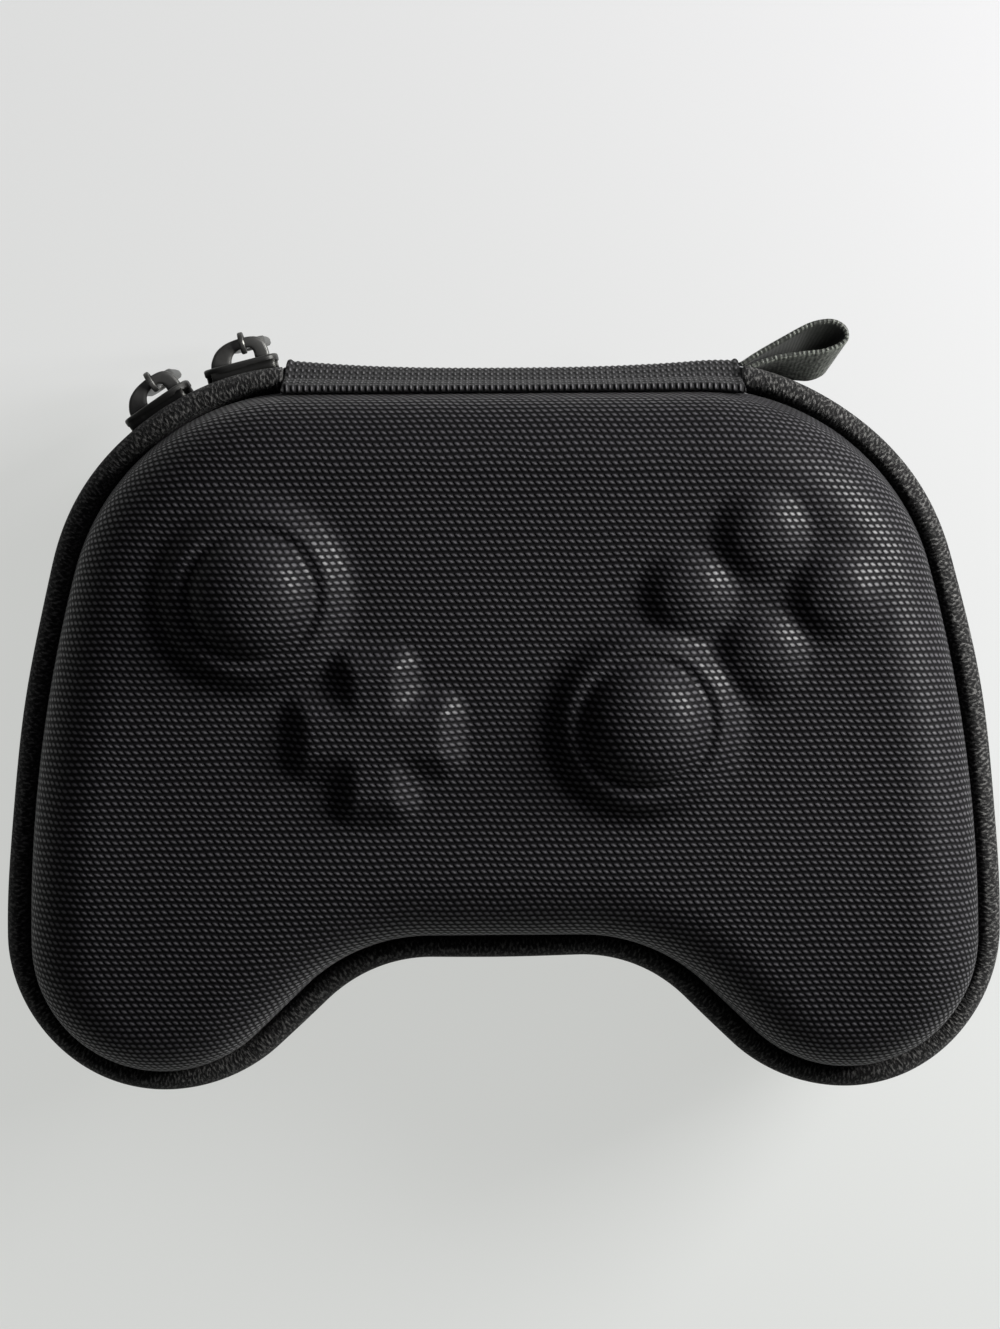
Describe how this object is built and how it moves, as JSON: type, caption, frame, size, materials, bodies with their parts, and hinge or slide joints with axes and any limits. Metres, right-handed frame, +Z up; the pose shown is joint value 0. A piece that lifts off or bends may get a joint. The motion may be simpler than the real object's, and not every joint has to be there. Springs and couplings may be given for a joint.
{
  "type": "game controller carrying case",
  "caption": "Moulded hard case for a game controller, with a zipped lid on a webbing hinge and reliefs over the sticks, direction pad and buttons.",
  "frame": {"origin": "centre of the flat underside, on the table, midway across the width and the depth of the outline", "axes": "+X to the right, +Y to the hinge at the rear, +Z up through the moulded lid"},
  "size_m": [0.17, 0.1307, 0.0666],
  "materials": {
    "moulded_fabric": "black woven nylon moulded onto foam",
    "zip_tape": "black herringbone zip tape",
    "zip_coil": "black nylon coil",
    "slider_metal": "black lacquered zinc casting, worn grey on its edges",
    "webbing": "coarse black basket weave",
    "ribbon": "dark grey ribbon",
    "lining": "plain black knitted lining"
  },
  "bodies": {
    "base": {"lower_shell": "moulded_fabric", "lower_zip_tape": "zip_tape", "lower_zip_coil": "zip_coil", "lower_rim_binding": "lining", "hinge_webbing": "webbing", "hinge_lining": "lining", "ribbon_loop": "ribbon"},
    "lid": {"upper_shell": "moulded_fabric", "upper_zip_tape": "zip_tape", "upper_zip_coil": "zip_coil", "upper_rim_binding": "lining"},
    "right_slider": {"slider_right": "slider_metal"},
    "left_slider": {"slider_left": "slider_metal"},
    "right_pull": {"pull_right": "slider_metal"},
    "left_pull": {"pull_left": "slider_metal"}
  },
  "joints": [
    {"name": "lid_hinge", "type": "hinge", "parent": "base", "child": "lid", "pos_m": [0, 0.0621, 0.03], "axis": [-1, 0, 0], "range_deg": [0, 165], "deforming": ["hinge_webbing", "hinge_lining", "upper_zip_tape", "upper_zip_coil"]},
    {"name": "right_slider_travel", "type": "hinge", "parent": "base", "child": "right_slider", "pos_m": [-0.033, 0.0173, 0.03], "axis": [0, 0, 1], "range_deg": [0, 14], "deforming": ["lower_zip_coil"]},
    {"name": "left_slider_travel", "type": "hinge", "parent": "right_slider", "child": "left_slider", "pos_m": [-0.033, 0.0173, 0.03], "axis": [0, 0, 1], "range_deg": [0, 18]},
    {"name": "right_pull_swing", "type": "hinge", "parent": "right_slider", "child": "right_pull", "pos_m": [-0.04396, 0.06579, 0.03], "axis": [0.9703, 0.242, 0], "range_deg": [-24, 180]},
    {"name": "left_pull_swing", "type": "hinge", "parent": "left_slider", "child": "left_pull", "pos_m": [-0.05957, 0.05932, 0.03], "axis": [0.8332, 0.553, 0], "range_deg": [-24, 180]}
  ]
}
